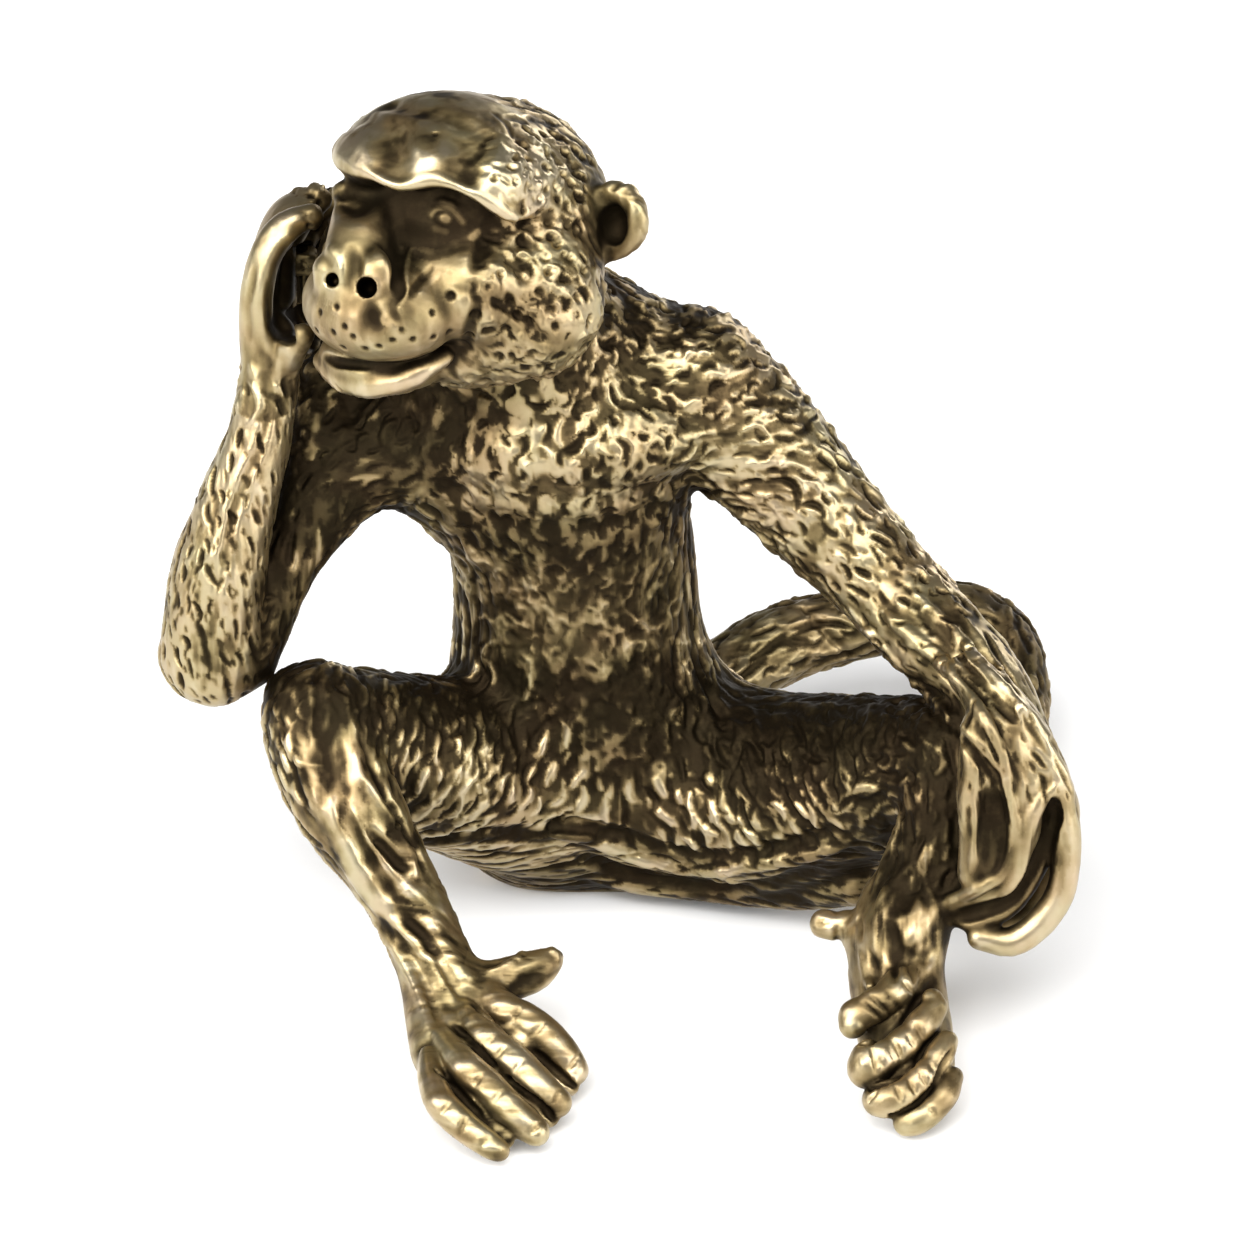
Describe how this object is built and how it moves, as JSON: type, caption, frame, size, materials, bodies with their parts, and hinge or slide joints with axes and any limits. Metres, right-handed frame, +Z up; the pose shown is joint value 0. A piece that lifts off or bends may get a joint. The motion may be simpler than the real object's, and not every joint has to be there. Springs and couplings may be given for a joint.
{
  "type": "monkey figurine",
  "caption": "Small solid brass monkey sitting with its cheek in one palm, the other arm over its knee and its tail curled behind; textured fur with an antiqued finish.",
  "frame": {"origin": "centre of the footprint, on the plane the figure rests on", "axes": "+Z up, the figure faces -Y, its own left side is +X"},
  "size_m": [0.0388, 0.0368, 0.0392],
  "materials": {
    "antique_brass": "cast and antiqued: burnished high points, near-black brown patina in the fur and creases"
  },
  "bodies": {
    "root": {"torso": "antique_brass", "head": "antique_brass", "right_arm": "antique_brass", "left_arm": "antique_brass", "right_leg": "antique_brass", "left_leg": "antique_brass", "tail": "antique_brass"}
  },
  "joints": []
}
